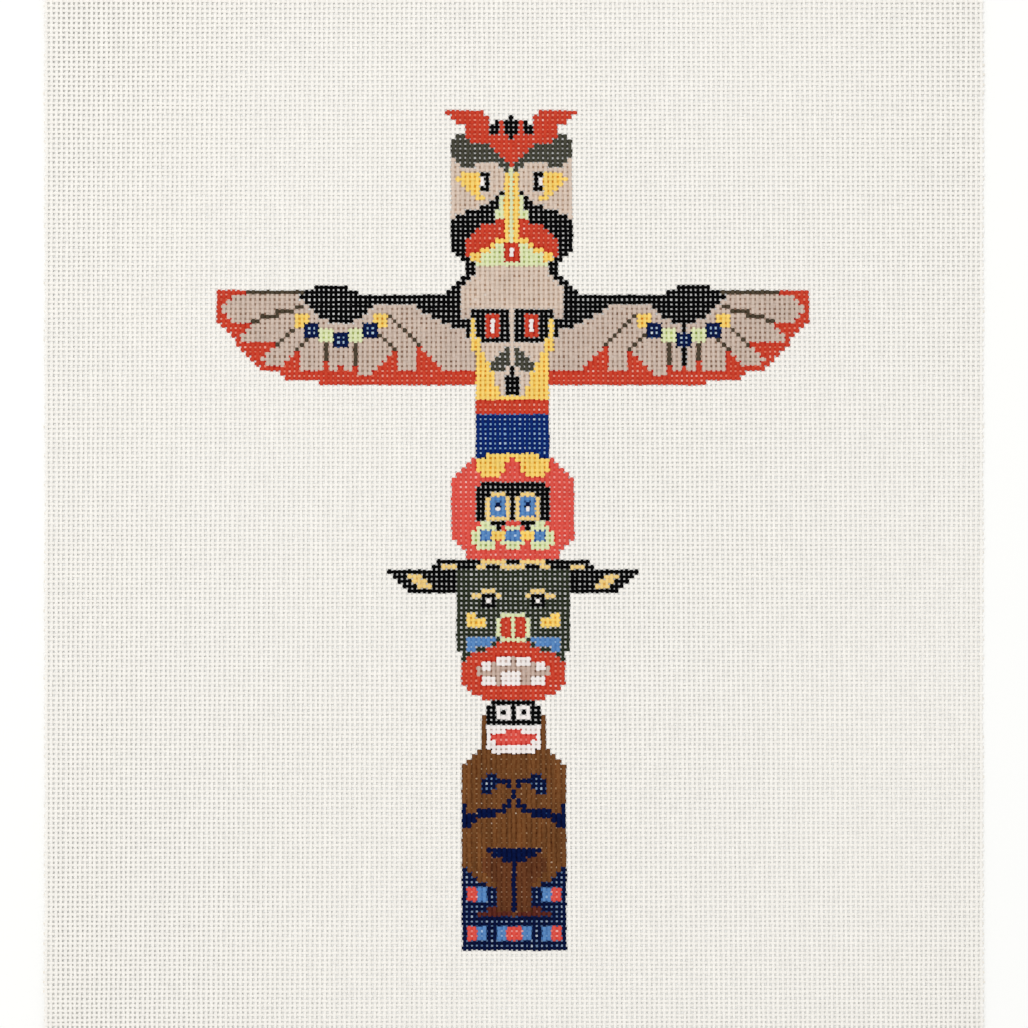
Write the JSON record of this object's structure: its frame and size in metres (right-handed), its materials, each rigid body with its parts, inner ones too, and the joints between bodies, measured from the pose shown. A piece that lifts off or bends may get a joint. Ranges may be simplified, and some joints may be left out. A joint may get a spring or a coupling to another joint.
{
  "type": "painted needlepoint canvas",
  "caption": "Flat rectangular sheet of open-weave cotton needlepoint canvas with a winged totem pole design painted on it thread by thread.",
  "frame": {"origin": "middle of the sheet, on its underside", "axes": "+X to the painted picture's right, +Y to the picture's top, +Z out of the painted face"},
  "size_m": [0.2696, 0.3402, 0.0006],
  "materials": {
    "painted_cotton": "matt sized off-white cotton, plain open weave, with matt acrylic paint on the threads of the design"
  },
  "bodies": {
    "root": {"painted_canvas": "painted_cotton"}
  },
  "joints": []
}
